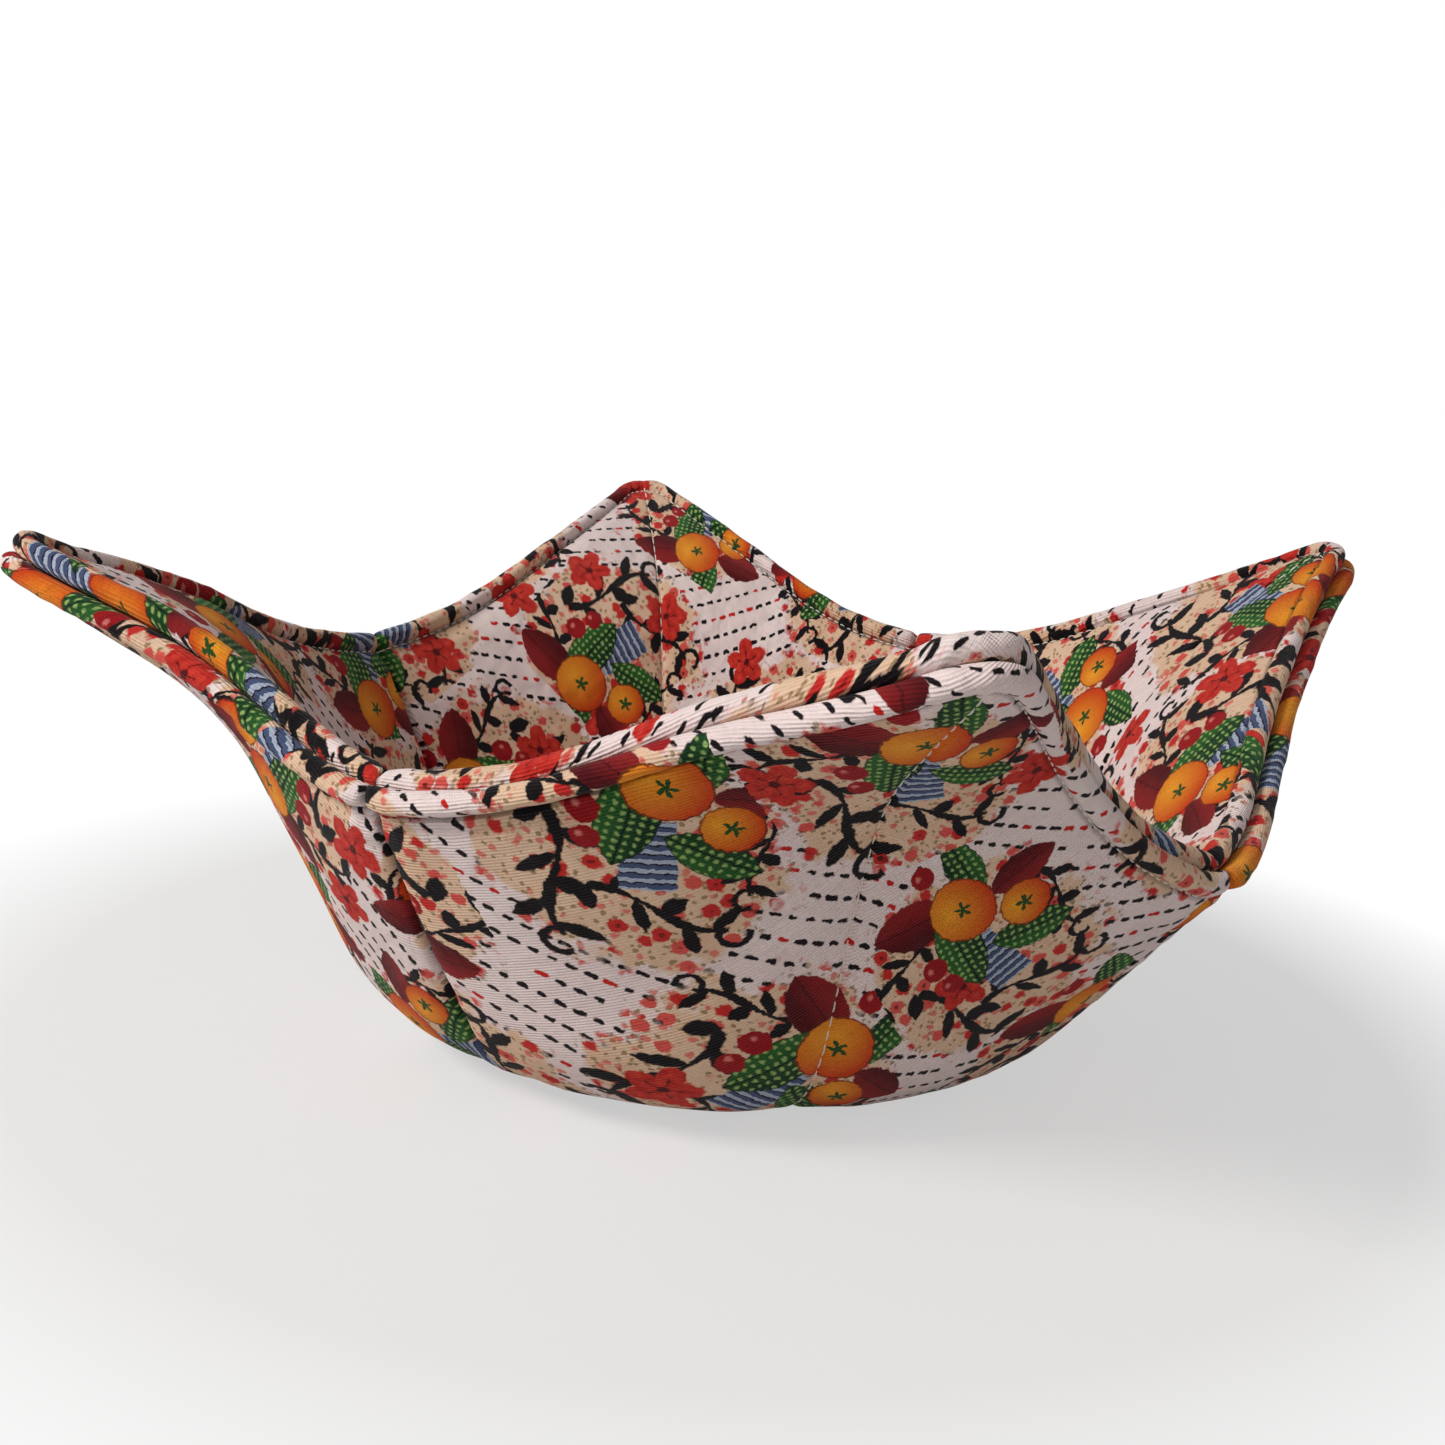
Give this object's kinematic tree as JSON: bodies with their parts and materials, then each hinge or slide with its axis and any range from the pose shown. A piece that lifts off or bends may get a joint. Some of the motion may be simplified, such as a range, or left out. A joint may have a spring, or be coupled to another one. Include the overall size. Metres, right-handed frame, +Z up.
{
  "type": "microwave bowl cozy",
  "caption": "Quilted square fabric holder darted into a soft bowl, with flared corners to grip when lifting a hot bowl from the microwave.",
  "frame": {"origin": "centre of the flat base's underside, where the cozy stands", "axes": "+Z up out of the bowl; the four darts lie near +X, +Y, -X and -Y and the corners near the diagonals"},
  "size_m": [0.193, 0.2018, 0.0967],
  "materials": {
    "outer_print": "printed cotton, matt",
    "outer_wadding": "cotton wadding",
    "inner_wadding": "cotton wadding",
    "lining_print": "printed cotton, matt"
  },
  "bodies": {
    "root": {"outer_cover": "outer_print", "outer_batting": "outer_wadding", "inner_batting": "inner_wadding", "lining": "lining_print"}
  },
  "joints": []
}
